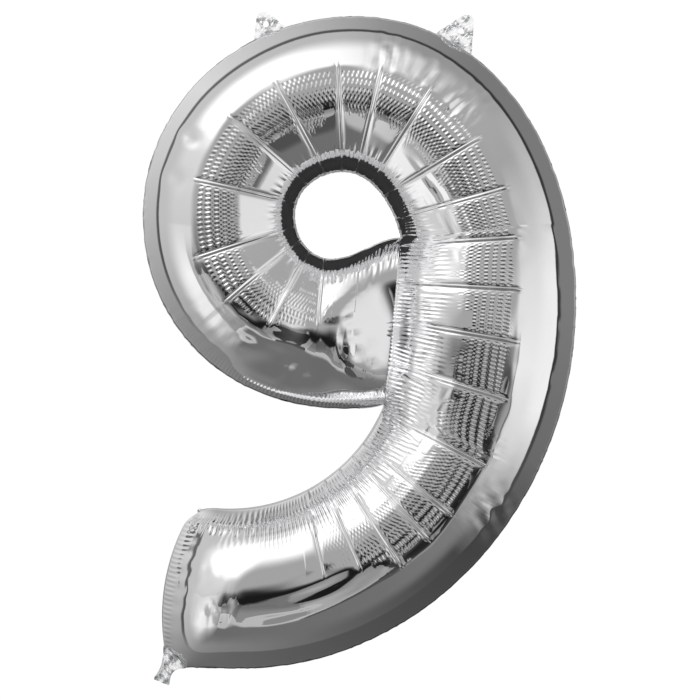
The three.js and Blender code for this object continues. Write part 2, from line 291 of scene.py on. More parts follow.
# tucks, the flat cells between them and the pleats: heights in metres, places as shares of the stroke
folds = {
    "pleatPitch": 0.0052, "pleatHeight": 0.00024, "pleatFrom": 0.37, "pleatTo": 0.63,
    "cellBulge": 0.0005, "cellTilt": 0.0017, "cellFlat": 0.8,
    "tuckValley": 0.0013, "valleySpan": 0.0036, "tuckRidge": 0.0018, "ridgeSpan": 0.0015, "tuckTo": 0.65,
    "chordFrom": 0.15, "chordTo": 0.37, "chordShare": 0.85,
    "lip": 0.0013,            # how far the smooth side stands proud of the pleats
    "ruffle": 0.0005, "jag": 0.0010,
}


def reachOf(share):
    return np.interp(share, *zip(*tuckReach))[:, None] / 0.64


def cellsOf(share):
    # which cell between tucks a row is in, and how far through it
    edges = np.array((tucks[0] - 0.05,) + tucks + (tucks[-1] + 0.03, 1.02))
    cell = np.clip(np.searchsorted(edges, share, side="right") - 1, 0, len(edges) - 2)
    through = (share - edges[cell]) / (edges[cell + 1] - edges[cell])
    return edges, cell, np.clip(through, 0, 1)


def facetted(points, share, fullAcross, edges, cell, through):
    # cells near the inner edge lie flat between their tucks
    across = fullAcross / reachOf(share)
    rows = np.clip(np.searchsorted(share, edges), 0, len(share) - 1)
    first, last = points[rows[cell]], points[rows[cell + 1]]
    flat = first + (last - first) * through[:, None, None]
    # a chord from beside the ring to the pleats
    low, high = folds["chordFrom"], folds["chordTo"]
    picks = [np.array([np.interp(place, line, depth) for line, depth in zip(across, flat[:, :, 1])])
             for place in (low, high)]
    chord = picks[0][:, None] + (picks[1] - picks[0])[:, None] * (across - low) / (high - low)
    inside = between(across, low - 0.02, low + 0.02, high - 0.02, high + 0.03)
    flat[:, :, 1] += (chord - flat[:, :, 1]) * inside * folds["chordShare"]
    amount = between(across, 0.04, 0.14, 0.5, 0.68)
    whole = (share > tucks[0]) & (share < tucks[-1])
    amount = amount * whole[:, None] * folds["cellFlat"]
    return points + (flat - points) * amount[:, :, None]


def tuckHeights(share, across, toTuck, cell, through, tilts):
    tucked = ((share > tucks[0] - 0.02) & (share < tucks[-1] + 0.015))[:, None]
    end = folds["tuckTo"]
    inner = between(across, 0.0, 0.05, end - 0.05, end)
    # convex cells, each a little tilted
    convex = 4 * through * (1 - through)
    total = inner * tucked * (folds["cellBulge"] * convex[:, None] ** 0.8)
    total += inner * tucked * folds["cellTilt"] * tilts[cell][:, None] * (2 * through[:, None] - 1)
    # the tucks between them
    line = between(across, 0.0, 0.02, end - 0.01, end + 0.02) * tucked
    ridge = np.exp(-(toTuck / folds["ridgeSpan"]) ** 4) * (1 + 0.9 * (1 - smooth(across, 0.07, 0.12)))
    valley = np.exp(-(toTuck / folds["valleySpan"]) ** 2)
    return total + line * (folds["tuckRidge"] * ridge - folds["tuckValley"] * valley)


def foldHeights(share, fullAcross, wide, points, seed):
    # the heights of tucks and pleats, and the marks that the foil's bump reads
    across = fullAcross / reachOf(share)
    edges, cell, through = cellsOf(share)
    pick = np.random.default_rng(seed)
    rows = np.arange(len(share))[:, None]
    step = np.linalg.norm(np.gradient(points, axis=0), axis=2)
    first = np.searchsorted(share, edges[cell])
    last = np.clip(np.searchsorted(share, edges[cell + 1]), 0, len(share) - 1)
    cellLength = step * np.maximum(last - first, 1)[:, None]
    toTuck = np.minimum(through, 1 - through)[:, None] * cellLength
    total = tuckHeights(share, across, toTuck, cell, through, pick.random(len(edges)) * 2 - 1)
    # pleats, each with a length and a strength of its own
    middle = int(np.argmin(np.abs(across[len(share) // 2] - 0.45)))
    turns = np.maximum(np.round(cellLength[:, middle] / folds["pleatPitch"]), 2) * through
    number = (np.floor(turns + 0.5) + 97 * cell).astype(int) % 997
    longer = pick.random(997)[number][:, None]
    strength = (0.7 + 0.3 * pick.random(997))[number][:, None]
    begin = folds["pleatFrom"] + 0.07 * (longer - 0.5) + 0.06 * valueNoise(rows * 0.02, across * 0, seed + 3)
    live = between(share, 0.03, 0.05, 0.84, 0.9)[:, None]
    clear = smooth(toTuck, 0.0025, 0.006)
    comb = np.arcsin(0.96 * np.cos(2 * math.pi * turns))[:, None]
    window = between(across, begin - 0.02, begin + 0.03, 0.5, 0.62) * (1 - 0.5 * smooth(across, 0.43, 0.5))
    total += folds["pleatHeight"] * strength * window * live * clear * comb
    # the smooth side stands proud of the pleats
    edge = folds["pleatTo"] + 0.008 * valueNoise(rows * 0.03, across * 0, seed + 4)
    total -= folds["lip"] * (1 - smooth(across, edge - 0.02, edge + 0.025)) * smooth(across, 0.2, 0.45) * live
    dashed = between(across, begin - 0.03, begin + 0.02, folds["pleatTo"] - 0.012, folds["pleatTo"] + 0.004)
    return total, bumpMarks(share, fullAcross, wide, turns, dashed * live * clear * strength)


def bumpMarks(share, across, wide, turns, strength):
    # how far across the stroke, which pleat, and how strong; the tail's end has gathers in place of pleats
    left = ((1 - share) * outerLength)[:, None]
    atEnd = left < 0.06
    gather = between(left, 0.001, 0.004, 0.011, 0.020) * smooth(across, 0.02, 0.07)
    place = across * wide[:, None] * np.where(atEnd, 1.7, 1)
    number = np.where(atEnd, 0, turns[:, None] + 0 * across)
    return np.stack([place, number, np.where(atEnd, gather, strength)], axis=2)


# the shoulder round the hole, where the foil turns in to its seam
shoulder = {
    "crinkle": 0.0013, "crinkleRun": 0.008, "crinkleAcross": 0.010,
    "tick": 0.0011, "tickPitch": 0.0046, "tickReach": 0.115,
    "ridge": 0.0030, "ridgeAt": 0.105, "ridgeSpan": 0.026,
}


def shoulderFolds(points, across, fine, beside, seed):
    run = lengthsOf(points[:, 6, ::2])[:, None]
    crinkles = crumple(run / shoulder["crinkleRun"] + 0 * fine, fine / shoulder["crinkleAcross"], seed + 5)
    total = shoulder["crinkle"] * between(across, 0.07, 0.1, 0.14, 0.18) * crinkles
    wave = run / shoulder["tickPitch"] + 0.5 * valueNoise(run / 0.012, 0 * run, seed + 6)
    tick = -np.abs(wave % 1 - 0.5) * 2
    reach = shoulder["tickReach"] + 0.02 * valueNoise(run / 0.005, 0 * run, seed + 16)
    total += shoulder["tick"] * between(across, 0.03, 0.07, reach, reach + 0.03) * tick * (1 - beside)
    ridge = np.exp(-((across - shoulder["ridgeAt"]) / shoulder["ridgeSpan"]) ** 2)
    return total + shoulder["ridge"] * ridge * (1 - beside)


# messy film beside the crease, from the notch down to the armpit
creaseFilm = {
    "band": 0.0010, "bandPitch": 0.0115, "dash": 0.0013, "dashPitch": 0.0066, "crinkle": 0.0007,
}


def creaseFolds(across, fine, rows, beside, seed):
    messy = beside * between(across, 0.0, 0.03, 0.17, 0.28)
    patch = 0.5 + 0.5 * valueNoise(rows / 0.022, fine / 0.012, seed + 7)
    shift = 0.45 * valueNoise(rows / 0.03, fine / 0.03, seed + 27)
    total = creaseFilm["band"] * messy * np.sin(2 * math.pi * (fine / creaseFilm["bandPitch"] + shift))
    dashes = np.sin(2 * math.pi * (rows / creaseFilm["dashPitch"] + shift))
    total += creaseFilm["dash"] * messy * patch * dashes
    return total + creaseFilm["crinkle"] * messy * crumple(rows / 0.03 + 0 * fine, fine / 0.02, seed + 37)


# folds that fan out of the notch over the bowl's end and bend round the hole
notchFan = {"height": 0.0006, "folds": 64, "bend": 2.2}


def notchFolds(points, share, seed):
    awayX, awayZ = points[:, :, 0] - holeNotch[0], points[:, :, 2] - holeNotch[1]
    away, angle = np.hypot(awayX, awayZ), np.arctan2(awayZ, awayX)
    bend = -angle - notchFan["bend"] * away
    fan = between(away, 0.006, 0.03, 0.09, 0.15) * (1 - smooth(share, 0.08, 0.11))[:, None]
    fan = fan * between(bend, 1.95, 2.1, 2.5, 2.7)
    wave = bend * notchFan["folds"] + 2 * valueNoise(angle * 3, away * 20, seed + 8)
    return notchFan["height"] * fan * np.sin(wave)


# puckers along the outer seam under the bowl, and along the stem's inner seam
puckers = {
    "bowl": 0.0005, "bowlPitch": 0.0052, "roll": 0.0016, "rollAt": 0.945, "rollSpan": 0.016,
    "stem": 0.0014, "stemPitch": 0.0074,
}


def puckerFolds(share, across, fine, rows, seed):
    outerRows = (share * outerLength)[:, None]
    under = np.exp(-((share - 0.05) / 0.05) ** 2)[:, None]
    wave = outerRows / puckers["bowlPitch"] + 0.4 * valueNoise(outerRows / 0.02, 0 * outerRows, seed + 9)
    total = puckers["bowl"] * under * between(across, 0.92, 0.95, 0.975, 0.99) * np.sin(2 * math.pi * wave)
    total += puckers["roll"] * under * np.exp(-((across - puckers["rollAt"]) / puckers["rollSpan"]) ** 2)
    leg = between(share, armpitShare, armpitShare + 0.03, 0.96, 0.985)[:, None]
    reach = 0.27 + 0.05 * valueNoise(rows / 0.02, 0 * rows, seed + 10)
    low = between(across, 0.02, 0.05, 0.1, reach)
    slant = rows + 0.25 * fine
    return total + puckers["stem"] * leg * low * np.sin(2 * math.pi * slant / puckers["stemPitch"])


# bands that run down the stem, a lip beside the pleats and a thin crinkled line near the seam
stemBands = {
    "band": 0.0010, "bandPitch": 0.017, "lip": 0.0009, "lipAt": 0.685, "lipSpan": 0.013,
    "line": 0.0006, "lineAt": 0.872, "lineSpan": 0.008,
}


def bandFolds(share, across, fine, rows, seed):
    stemSide = between(share, 0.46, 0.56, 0.8, 0.86)[:, None]
    wave = fine / stemBands["bandPitch"] + 0.3 * valueNoise(rows / 0.05, across * 3, seed + 17)
    total = stemBands["band"] * stemSide * between(across, 0.1, 0.16, 0.34, 0.42) * np.sin(2 * math.pi * wave)
    lip = stemSide * np.exp(-((across - stemBands["lipAt"]) / stemBands["lipSpan"]) ** 2)
    total += stemBands["lip"] * lip * (1 + valueNoise(rows / 0.03, 0 * rows, seed + 18))
    side = between(share, 0.36, 0.44, 0.66, 0.74)[:, None]
    line = side * np.exp(-((across - stemBands["lineAt"]) / stemBands["lineSpan"]) ** 2)
    return total + stemBands["line"] * line * (1 + valueNoise(rows / 0.012, 0 * rows, seed + 19))


# waves in the tail's end, long wrinkles along the heel and the bowl, and a general unevenness
wrinkles = {
    "tailWave": 0.0003, "tailPitch": 0.024, "uneven": 0.0005,
    "long": 0.0019, "longRun": 0.12, "longAcross": 0.016,
}


def wrinkleFolds(share, across, fine, rows, seed):
    left = ((1 - share) * outerLength)[:, None]
    wave = 2 * math.pi * fine / wrinkles["tailPitch"] + 2 * valueNoise(across * 9, 0 * across, seed + 11)
    total = wrinkles["tailWave"] * between(left, 0.002, 0.005, 0.012, 0.05) * np.sin(wave)
    heel, bowl = np.exp(-((share - 0.84) / 0.11) ** 2), 0.8 * np.exp(-((share - 0.12) / 0.06) ** 2)
    creases = crumple(rows / wrinkles["longRun"] + 0 * fine, fine / wrinkles["longAcross"], seed + 12, 4)
    total += wrinkles["long"] * (heel + bowl)[:, None] * between(across, 0.44, 0.54, 0.7, 0.82) * creases
    uneven = valueNoise(rows / 0.07, across * 5, seed + 13) * between(across, 0.5, 0.7, 0.9, 0.97)
    return total + wrinkles["uneven"] * uneven


def surfaceFolds(points, share, across, wide, seed):
    rows = (np.arange(len(share)) * swell["rowStep"])[:, None]
    fine = across * wide[:, None]
    beside = between(share, notchShare - 0.01, notchShare + 0.02, armpitShare, armpitShare + 0.03)[:, None]
    total = shoulderFolds(points, across, fine, beside, seed)
    total += creaseFolds(across, fine, rows, beside, seed)
    total += notchFolds(points, share, seed)
    total += puckerFolds(share, across, fine, rows, seed)
    total += bandFolds(share, across, fine, rows, seed)
    return total + wrinkleFolds(share, across, fine, rows, seed)


# shallow dents and crumpled spots on the smooth side: x, z, radius, depth, crumple
dents = (
    (0.040, 0.802, 0.022, -0.0008, 0.0022), (0.088, 0.778, 0.020, -0.0008, 0.0026),
    (0.132, 0.742, 0.024, -0.0010, 0.0024),
    (-0.240, 0.646, 0.012, -0.0022, 0.0), (-0.222, 0.700, 0.010, -0.0020, 0.0),
    (-0.022, 0.428, 0.024, -0.0004, 0.0014), (0.008, 0.392, 0.016, 0.0, 0.0012),
    (-0.205, 0.468, 0.030, 0.0, 0.0006), (-0.165, 0.430, 0.030, 0.0, 0.0006),
    (-0.095, 0.392, 0.026, 0.0006, 0.0010),
    (-0.222, 0.120, 0.028, 0.0, 0.0011), (-0.185, 0.085, 0.028, 0.0, 0.0010),
    (0.175, 0.205, 0.030, 0.0, 0.0016),
)


def dentHeights(points, seed):
    x, z = points[:, :, 0], points[:, :, 2]
    total = np.zeros_like(x)
    for number, (dentX, dentZ, radius, depth, rough) in enumerate(dents):
        reach = np.exp(-((x - dentX) ** 2 + (z - dentZ) ** 2) / radius ** 2)
        total += reach * (depth + rough * crumple(x / 0.021, z / 0.021, seed + 50 + number))
    return total


# places where the film pulls flat: x, z, half width, half height, share, and the slopes it takes
flats = ((0.012, 0.450, 0.064, 0.080, 0.9, -0.45, 0.0), (-0.110, 0.392, 0.060, 0.030, 0.5, 0.0, 0.35))


def pulledFlat(points, share, across):
    x, z = points[:, :, 0], points[:, :, 2]
    bowlSide = 1 - smooth(share, 0.4, 0.5)[:, None] * smooth(across, 0.0, 0.12)
    for flatX, flatZ, halfWidth, halfHeight, amount, slopeX, slopeZ in flats:
        weight = np.exp(-(((x - flatX) / halfWidth) ** 2 + ((z - flatZ) / halfHeight) ** 2) ** 2) * bowlSide
        slope = slopeX * (x - flatX) + slopeZ * (z - flatZ)
        level = slope + np.sum((points[:, :, 1] - slope) * weight) / np.sum(weight)
        points[:, :, 1] += (level - points[:, :, 1]) * weight * amount
    return points


def evened(points, across, rowsEach=14):
    # the sections' turns are smoothed on the outer side of the stroke
    reach = np.arange(-3 * rowsEach, 3 * rowsEach + 1)
    kernel = np.exp(-0.5 * (reach / rowsEach) ** 2)
    kernel /= kernel.sum()
    spare = (len(reach) // 2, len(reach) // 2)
    padded = np.pad(points, (spare, (0, 0), (0, 0)), mode="reflect", reflect_type="odd")
    soft = sum(weight * padded[step:step + len(points)] for step, weight in enumerate(kernel))
    row = np.arange(len(points))[:, None]
    end = smooth(row, len(points) - 260, len(points) - 200)
    amount = smooth(across, 0.5 - 0.6 * end, 0.7 - 0.6 * end) * (1 - smooth(across, 0.93, 0.99))
    amount = amount * smooth(row, 60, 120) * (1 - smooth(row, len(points) - 30, len(points) - 6))
    return points + (soft - points) * amount[:, :, None]


def meshFrom(name, points):
    rows, columns = points.shape[:2]
    mesh = bpy.data.meshes.new(name)
    index = np.arange(rows * columns).reshape(rows, columns)
    quads = np.stack([index[:-1, :-1], index[:-1, 1:], index[1:, 1:], index[1:, :-1]], axis=2).reshape(-1, 4)
    mesh.vertices.add(rows * columns)
    mesh.vertices.foreach_set("co", points.reshape(-1).astype(np.float32))
    mesh.loops.add(quads.size)
    mesh.loops.foreach_set("vertex_index", quads.reshape(-1).astype(np.int32))
    mesh.polygons.add(len(quads))
    mesh.polygons.foreach_set("loop_start", (np.arange(len(quads)) * 4).astype(np.int32))
    mesh.polygons.foreach_set("use_smooth", np.ones(len(quads), bool))
    mesh.update(calc_edges=True)
    mesh.validate()
    piece = bpy.data.objects.new(name, mesh)
    bpy.context.scene.collection.objects.link(piece)
    return piece


def seamBand(name, edge, inset, closed):
    # a seam's two welded layers as one thin band along the cut edge
    corners = [np.stack([line[:, 0], np.full(len(line), side * swell["weld"]), line[:, 2]], axis=1)
               for line, side in ((edge, -1), (inset, -1), (inset, 1), (edge, 1), (edge, -1))]
    band = np.stack(corners, axis=1)
    if closed:
        band = np.concatenate([band, band[:1]])
    piece = meshFrom(name, band)
    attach(piece, "envelope")
    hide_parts(name.replace("_skin", ""))
    return piece


def seams(placed, share):
    # the edge of a panel's grid, and the same line a few millimetres in
    inset = placed[:, 1] + (placed[:, 8] - placed[:, 1]) * 0.2
    outset = placed[:, -2] + (placed[:, -9] - placed[:, -2]) * 0.2
    legRows, holeRows = share >= armpitShare, share <= notchShare
    edge = np.concatenate([placed[:, -1], placed[-1, ::-1], placed[legRows, 0][::-1]])
    inside = np.concatenate([outset, placed[-8, ::-1], inset[legRows][::-1]])
    return [seamBand("outer_seam_weld_skin", edge, inside, False),
            seamBand("hole_seam_weld_skin", placed[holeRows, 0], inset[holeRows], True)]


# the tail's upper corner is round, and the flange ripples
corner = {"reach": 0.030, "inX": 0.0076, "downZ": 0.0072}


def heldAtSeams(share, across, wide):
    # the folds fade out into the welded edges
    flange = figure["flange"]
    left = ((1 - share) * outerLength)[:, None]
    hold = smooth(across * wide[:, None], flange, flange + 0.004)
    hold = hold * smooth((1 - across) * wide[:, None], flange, flange + 0.003)
    return hold * smooth(left, flange, flange + 0.004)


def cutEdge(points, share, across, seed):
    # a little jagged, as cut film is
    rows = (share * outerLength)[:, None]
    atEdge = smooth(across, 0.96, 1.0) + (1 - smooth(across, 0.0, 0.03)) * (share < notchShare)[:, None]
    jag = np.abs(valueNoise(rows / 0.013, rows * 0 + seed, 77)) * folds["jag"] * atEdge
    fromCorner = points - np.array([leftX + figure["tailInset"], 0, figure["tailStroke"]])
    blunt = np.clip(1 - np.linalg.norm(fromCorner[:, :, ::2], axis=2) / corner["reach"], 0, 1) ** 2
    points = points + blunt[:, :, None] * np.array([corner["inX"], 0, -corner["downZ"]])
    inward = points[:, 2:3] - points[:, -3:-2]
    inward = inward / np.maximum(np.linalg.norm(inward, axis=2, keepdims=True), 1e-9)
    sign = np.where(across > 0.5, 1, -1)[:, :, None]
    return points + inward * sign * jag[:, :, None]


def foilPanel(name, side, seed):
    share = rowShares(swell["rowStep"])
    points, across, wide = baseGrid(share)
    points = evened(points, across)
    points = pulledFlat(facetted(points, share, across, *cellsOf(share)), share, across)
    rise, marks = foldHeights(share, across, wide, points, seed)
    rise = rise + surfaceFolds(points, share, across, wide, seed) + dentHeights(points, seed)
    normal = normalsOf(points)
    normal *= np.sign(np.sum(normal[:, :, 1], axis=None))
    points = points + normal * (rise * heldAtSeams(share, across, wide))[:, :, None]
    points = cutEdge(points, share, across, seed)
    rows = (share * outerLength)[:, None]
    rim = 1 - np.minimum(1, np.minimum(across, 1 - across) * wide[:, None] / (figure["flange"] * 1.5))
    ripple = valueNoise(rows / 0.004, rows * 0, seed + 20) * folds["ruffle"] * rim
    depth = side * (swell["lift"] + points[:, :, 1] + 0.4 * np.abs(ripple))
    placed = np.stack([points[:, :, 0] + placeX, depth, points[:, :, 2] + placeZ], axis=2)
    for edge in (placed[:, 0], placed[:, -1], placed[-1]):
        edge[np.abs(edge[:, 1]) < 0.003, 1] = side * 0.0001      # the panels meet at the cut edge
    welds = seams(placed, share) if side < 0 else []
    if side > 0:
        placed, marks = placed[:, ::-1], marks[:, ::-1]
    piece = meshFrom(name, placed)
    pleats = piece.data.attributes.new("pleats", "FLOAT_VECTOR", "POINT")
    pleats.data.foreach_set("vector", marks.reshape(-1).astype(np.float32))
    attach(piece, "envelope")
    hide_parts(name.replace("_skin", ""))
    print(name, placed.shape)
    return piece, welds


tabs = {
    "left": {"root": (-0.12469, -0.00673), "along": (0.92393, 0.38256),
             "width": 0.044, "reach": 0.029, "eyelet": 0.0125},
    "right": {"root": (0.12026, -0.02029), "along": (0.85922, -0.51161),
              "width": 0.054, "reach": 0.042, "eyelet": 0.018},
    "tip": 0.010, "eyeletRadius": 0.0042, "crinkle": 0.0018, "pitch": 0.011, "film": 0.0003,
}


def filmPiece(name, points, body, replaced, thickness):
    piece = meshFrom(name, points)
    shell = piece.modifiers.new("film", "SOLIDIFY")
    shell.thickness, shell.offset = thickness, 0
    if body == "neck":
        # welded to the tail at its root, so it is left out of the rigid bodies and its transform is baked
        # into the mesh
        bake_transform(piece)
    else:
        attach(piece, body)
    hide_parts(*replaced)
    return piece


def hangingTab(side, seed):
    # rings of points from the eyelet out to the tab's edge, crinkled
    tab = tabs[side]
    half, centre, tip = tab["width"] / 2, tab["reach"] - tabs["tip"], tabs["tip"]
    slope = math.atan2(centre, half) + math.asin(tip / math.hypot(centre, half))
    arc = np.linspace(math.pi / 2 - slope, math.pi / 2 + slope, 24)
    top = [(tip * math.cos(turn), centre + tip * math.sin(turn)) for turn in arc]
    edge = [(-half, 0), (half, 0)] + top + [(-half, 0)]
    edge = along(np.array(edge), np.linspace(0, 1, 181))
    middle = np.array([0, tab["eyelet"]])
    away = edge - middle
    reach = np.linalg.norm(away, axis=1, keepdims=True)
    ring = middle + away / reach * tabs["eyeletRadius"]
    share = np.linspace(0, 1, 34)[:, None, None]
    flat = ring + (edge - ring) * share
    x, z = flat[:, :, 0], flat[:, :, 1]
    pitch = tabs["pitch"]
    free = smooth(z, 0.0, 0.006)
    ridge = crumple(x / pitch, z / pitch, seed) + 0.5 * crumple(x / pitch * 2, z / pitch * 2, seed + 1)
    x = x + 0.0010 * free * crumple(z / pitch, x / pitch, seed + 2)
    z = z - 0.0012 * free * (0.5 + crumple(x / pitch + 3, z / pitch, seed + 3)) \
        - 0.0016 * (1 - smooth(z, 0, 0.003))
    depth = tabs["crinkle"] * (0.25 + 0.75 * free) * ridge
    (rootX, rootZ), (alongX, alongZ) = tab["root"], tab["along"]
    placed = np.stack([rootX + alongX * x - alongZ * z, depth, rootZ + alongZ * x + alongX * z], axis=2)
    name = side + "_hanging_tab"
    return filmPiece(name + "_film", placed, side + "_tab", [name], tabs["film"])


neck = {
    "root": (-0.24970, -0.83315), "along": (0.71092, -0.70327),
    "rootHalf": 0.0220, "leftTip": (0.001, 0.040), "rightTip": (0.020, 0.0325),
    "leftPinch": 0.005, "rightPinch": 0.0085, "crinkle": 0.0020, "pitch": 0.016, "puff": 0.0035,
    "film": 0.0003, "seal": 0.0007, "bend": 0.010,
}


def neckPiece(name, replaced, first, last, side, seed, thickness):
    # the neck narrows from the tail's cut corner, one crinkled film on each side
    down, over = np.linspace(0, 1, 56)[:, None], np.linspace(first, last, 48)[None, :]
    pinch = np.sin(math.pi * np.minimum(down * 1.1, 1)) ** 0.8
    half = neck["rootHalf"]
    leftSide = -half + (neck["leftTip"][0] + half) * down + neck["leftPinch"] * pinch
    rightSide = half + (neck["rightTip"][0] - half) * down - neck["rightPinch"] * pinch
    x = leftSide + (rightSide - leftSide) * over
    z = down * (neck["leftTip"][1] + (neck["rightTip"][1] - neck["leftTip"][1]) * over)
    pitch = neck["pitch"]
    free = smooth(down, 0.0, 0.2) + 0 * over
    ridge = crumple(x / pitch, z / pitch * 0.6, seed) + 0.5 * crumple(x / pitch * 2, z / pitch * 2, seed + 1)
    z = z - 0.0013 * (1 - smooth(down, 0, 0.06))
    z = z + 0.0014 * smooth(down, 0.6, 1.0) * crumple(x / pitch * 1.5, 0 * z, seed + 2)
    puff = neck["puff"] * 4 * over * (1 - over) * np.sin(math.pi * np.clip(down, 0, 1)) + 0.0011
    depth = side * (puff + (0.0004 if side else 0)) + neck["crinkle"] * free * ridge * 4 * over * (1 - over)
    (rootX, rootZ), (alongX, alongZ) = neck["root"], neck["along"]
    placed = np.stack([rootX + alongX * x + alongZ * z, depth, rootZ + alongZ * x - alongX * z], axis=2)
    return filmPiece(name, placed, "neck", replaced, thickness)


class Socket:
    # a shader value, so that materials read as sums
    def __init__(self, nodes, link):
        self.nodes, self.link = nodes, link

    def math(self, operation, other=None, third=None):
        return self.nodes.node("ShaderNodeMath", {"operation": operation}, (self, other, third)).out()

    def __add__(self, other): return self.math("ADD", other)
    def __radd__(self, other): return self.math("ADD", other)
    def __sub__(self, other): return self.math("SUBTRACT", other)
    def __rsub__(self, other): return self.math("MULTIPLY_ADD", -1, other)
    def __mul__(self, other): return self.math("MULTIPLY", other)
    def __rmul__(self, other): return self.math("MULTIPLY", other)
    def __truediv__(self, other): return self.math("DIVIDE", other)
    def __rtruediv__(self, other): return self.math("POWER", -1) * other
    def __pow__(self, other): return self.math("POWER", other)


class Built:
    def __init__(self, owner, node):
        self.owner, self.node = owner, node

    def out(self, name=0):
        return Socket(self.owner, self.node.outputs[name])


class Nodes:
    def __init__(self, tree):
        self.tree = tree
        tree.nodes.clear()

    def node(self, kind, settings=None, sockets=()):
        # settings first, because some of them change which sockets there are
        made = self.tree.nodes.new(kind)
        for key, value in (settings or {}).items():
            if key == "stops":
                self.ramp(made.color_ramp, value)
            else:
                setattr(made, key, value)
        pairs = sockets.items() if isinstance(sockets, dict) else enumerate(sockets)
        for key, value in pairs:
            if isinstance(value, Socket):
                self.tree.links.new(value.link, made.inputs[key])
            elif value is not None:
                made.inputs[key].default_value = value
        return Built(self, made)

    def ramp(self, ramp, stops):
        while len(ramp.elements) < len(stops):
            ramp.elements.new(0.5)
        for element, (position, grey) in zip(ramp.elements, stops):
            element.position = position
            element.color = (grey, grey, grey, 1)

    def range(self, value, low, high, toLow=0.0, toHigh=1.0):
        settings = {"interpolation_type": "SMOOTHSTEP"}
        return self.node("ShaderNodeMapRange", settings, (value, low, high, toLow, toHigh)).out()

    def noise(self, place, scale, detail):
        return self.node("ShaderNodeTexNoise", {}, {"Vector": place, "Scale": scale, "Detail": detail}).out()

    def bump(self, height):
        return self.node("ShaderNodeBump", {}, {"Strength": 1, "Distance": 1, "Height": height}).out()

    def surface(self, sockets):
        shader = self.node("ShaderNodeBsdfPrincipled", {}, sockets).out()
        self.node("ShaderNodeOutputMaterial", {}, {"Surface": shader})

    def mix(self, factor, first, second):
        # numbers, not colours
        return first + (second - first) * factor


def newMaterial(name):
    material = bpy.data.materials.new(name)
    material.use_nodes = True
    return material, Nodes(material.node_tree)


foilLook = {
    "tint": (0.96, 0.96, 0.97, 1), "rough": 0.03, "roughMore": 0.045, "hazeScale": 9,
    "grainScale": 420, "grainHeight": 0.00001, "waveScale": 55, "waveHeight": 0.00005,
    "dashPitch": 0.0105, "dashHeight": 0.00046,
}


def foilMaterial():
    material, nodes = newMaterial("silverFoil")
    place = nodes.node("ShaderNodeTexCoord").out("Object")
    haze = nodes.noise(place, foilLook["hazeScale"], 3)
    grain = nodes.noise(place, foilLook["grainScale"], 2)
    wave = nodes.noise(place, foilLook["waveScale"], 1)
    # rows of dashes across the pleats
    marks = nodes.node("ShaderNodeAttribute", {"attribute_name": "pleats"}).out("Vector")
    marks = nodes.node("ShaderNodeSeparateXYZ", {}, (marks,))
    comb = (marks.out("Y") * (2 * math.pi)).math("COSINE")
    dash = (marks.out("X") * (2 * math.pi / foilLook["dashPitch"])).math("COSINE") * 0.5 + 0.55
    height = grain * foilLook["grainHeight"] + wave * foilLook["waveHeight"]
    height = height + comb * dash * marks.out("Z") * foilLook["dashHeight"]
    rough = nodes.range(haze, 0.35, 0.75, foilLook["rough"], foilLook["roughMore"])
    bump = nodes.bump(height)
    nodes.surface({"Base Color": foilLook["tint"], "Metallic": 1.0, "Roughness": rough, "Normal": bump})
    return material


sealLook = {
    "tint": (0.8, 0.81, 0.82, 1), "rough": 0.18, "roughMore": 0.35,
    "knurlScale": 260, "knurlHeight": 0.0001,
}


def sealMaterial():
    material, nodes = newMaterial("sealedFoil")
    place = nodes.node("ShaderNodeTexCoord").out("Object")
    knurl = nodes.noise(place, sealLook["knurlScale"], 2)
    bump = nodes.bump(knurl * sealLook["knurlHeight"])
    rough = nodes.range(knurl, 0.3, 0.7, sealLook["rough"], sealLook["roughMore"])
    nodes.surface({"Base Color": sealLook["tint"], "Metallic": 1.0, "Roughness": rough, "Normal": bump})
    return material


filmLook = {
    "tint": (0.95, 0.96, 0.97, 1), "clear": 0.1, "solid": 0.75, "rough": 0.05, "metal": 0.9,
    "patchScale": 75, "patchHeight": 0.0005,
}


def filmMaterial():
    # clear film: see-through on the flats, and bright where it is crinkled
    material, nodes = newMaterial("clearFilm")
    place = nodes.node("ShaderNodeTexCoord").out("Object")
    patch = nodes.noise(place, filmLook["patchScale"], 2)
    bump = nodes.bump(patch * filmLook["patchHeight"])
    body = nodes.range(patch, 0.42, 0.6, filmLook["clear"], filmLook["solid"])
    nodes.surface({"Base Color": filmLook["tint"], "Metallic": filmLook["metal"],
                   "Roughness": filmLook["rough"], "Alpha": body, "Normal": bump})
    return material


# the studio as the foil sees it: greys by direction round the figure's own Y axis,
# in degrees from the right, anticlockwise
studio = {
    "behind": ((-180, 0.66), (-145, 0.52), (-103, 0.40), (-70, 0.32), (-42, 0.27), (-25, 0.40), (0, 0.46),
               (50, 0.45), (80, 0.53), (105, 0.68), (135, 0.8), (160, 0.74), (180, 0.66)),
    "beside": ((-180, 0.7), (-145, 0.62), (-120, 0.52), (-90, 0.46), (-70, 0.37), (-45, 0.28), (-27, 0.72),
               (-18, 0.88), (5, 0.87), (22, 0.7), (45, 0.57), (68, 0.54), (95, 0.67), (135, 0.72),
               (180, 0.7)),
    "ahead": ((-180, 0.78), (-160, 0.9), (-140, 0.84), (-118, 0.4), (-60, 0.42), (-42, 0.46), (-27, 0.78),
              (-10, 0.86), (8, 0.8), (28, 0.6), (50, 0.62), (70, 0.76),
              (84, 0.84), (97, 0.94), (112, 1.06), (140, 1.06), (152, 0.8), (180, 0.74)),
    "centre": 0.6, "centreLow": 0.14, "blockDark": 0.08, "blockLight": 0.85, "blockShare": 0.6,
    "contrast": 1.12, "black": 0.03, "white": 1.02,
}


